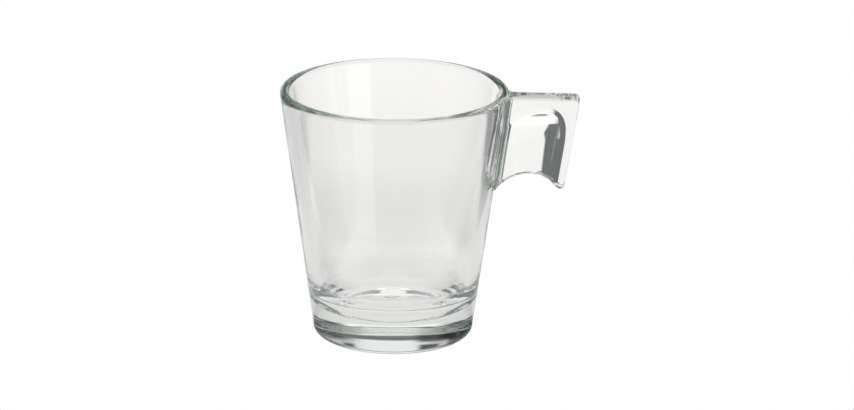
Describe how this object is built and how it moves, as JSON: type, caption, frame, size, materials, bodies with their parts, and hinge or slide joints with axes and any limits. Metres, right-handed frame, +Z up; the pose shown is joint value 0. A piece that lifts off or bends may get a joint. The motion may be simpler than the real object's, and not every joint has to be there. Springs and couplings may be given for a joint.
{
  "type": "glass espresso cup",
  "caption": "Clear pressed-glass espresso cup: conical body, rounded lip, thick base, and a solid scooped tab handle under the lip.",
  "frame": {"origin": "on the table plane, under the middle of the whole object's box, so the cup's axis is at x = -9.1 mm", "axes": "+Z up along the cup's axis, +X towards the handle's outer edge, +Y across the handle"},
  "size_m": [0.0772, 0.059, 0.066],
  "materials": {
    "clear_glass": "clear, fire-polished, with a faint grey-green tint in thick sections"
  },
  "bodies": {
    "root": {"cup_body": "clear_glass", "handle": "clear_glass"}
  },
  "joints": []
}
